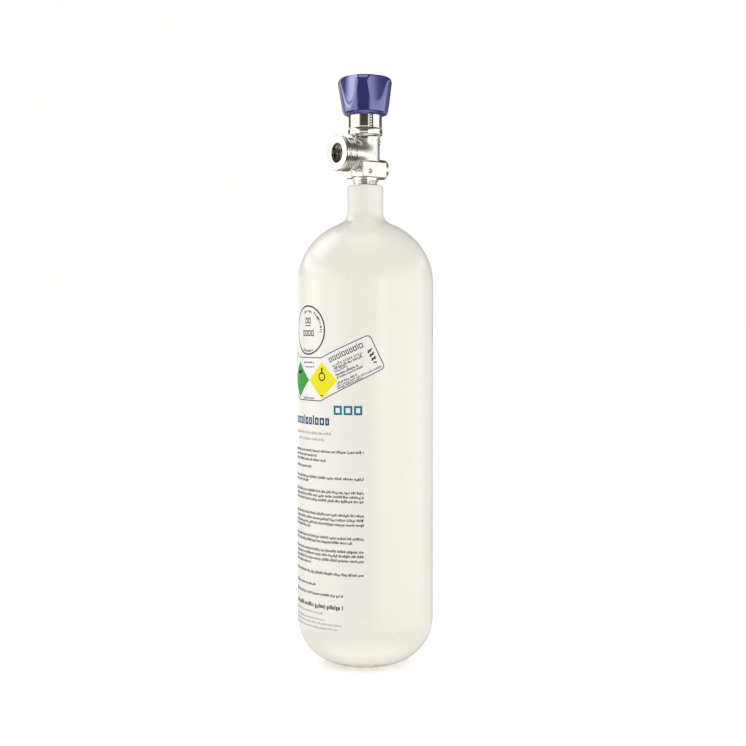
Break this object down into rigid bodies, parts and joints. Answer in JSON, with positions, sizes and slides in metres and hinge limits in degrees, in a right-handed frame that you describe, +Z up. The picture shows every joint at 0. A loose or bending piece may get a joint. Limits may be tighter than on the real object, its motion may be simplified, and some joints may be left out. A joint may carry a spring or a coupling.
{
  "type": "oxygen cylinder",
  "caption": "Small medical oxygen cylinder: white steel bottle, chromed valve with threaded side outlet and blue scooped handwheel.",
  "frame": {"origin": "lowest point of the bottle, in the middle of its small flat base, on the bottle's axis", "axes": "+Z up along the bottle's axis, -Y out of the valve's side outlet and the middle of the labels, +X to the right of someone who faces the outlet"},
  "size_m": [0.1, 0.1005, 0.432],
  "materials": {
    "white_paint": "semi-gloss powder coat with faint orange peel",
    "plated_brass": "polished nickel and chrome plate over brass",
    "turned_brass": "fine turned",
    "sintered_bronze": "grainy",
    "copper": "soft annealed",
    "spring_steel": "bright drawn",
    "white_ptfe": "waxy matt",
    "natural_nylon": "matt",
    "black_rubber": "matt moulded",
    "blue_plastic": "glossy moulded",
    "label_film": "smooth printed film"
  },
  "bodies": {
    "bottle": {"cylinder_shell": "white_paint", "thread_seal_tape": "white_ptfe", "dip_tube": "turned_brass", "inlet_filter": "sintered_bronze", "valve_body": "plated_brass", "bonnet_lock_screw": "plated_brass", "bonnet": "plated_brass", "bonnet_gasket": "copper", "thrust_washer": "white_ptfe", "spindle_seal_lower": "black_rubber", "spindle_seal_upper": "black_rubber", "outlet_retainer": "plated_brass", "piston_spring": "spring_steel", "test_date_label": "label_film", "gas_label": "label_film", "info_label": "label_film"},
    "wheel": {"handwheel": "blue_plastic", "wheel_bush": "turned_brass", "wheel_spring_washer": "spring_steel", "wheel_nut": "spring_steel", "wheel_cap": "blue_plastic", "wheel_slide_ring": "white_ptfe", "upper_spindle": "turned_brass"},
    "plug": {"shutoff_plug": "turned_brass", "seat_insert": "natural_nylon"},
    "piston": {"pressure_piston": "turned_brass", "piston_seal": "black_rubber"}
  },
  "joints": [
    {"name": "handwheel_turn", "type": "hinge", "parent": "bottle", "child": "wheel", "pos_m": [0, 0, 0.4], "axis": [0, 0, 1], "range_deg": [0, 720]},
    {"name": "plug_travel", "type": "slide", "parent": "wheel", "child": "plug", "axis": [0, 0, 1], "range_m": [0, 0.003]},
    {"name": "piston_travel", "type": "slide", "parent": "bottle", "child": "piston", "axis": [0, -1, 0], "range_m": [0, 0.0015], "stiffness_N_per_m": 2000, "springref_m": -0.0015, "deforming": ["piston_spring"]}
  ],
  "couplings": [
    {"joint": "plug_travel", "follows": "handwheel_turn", "m_per_rad": 0.00023873}
  ]
}
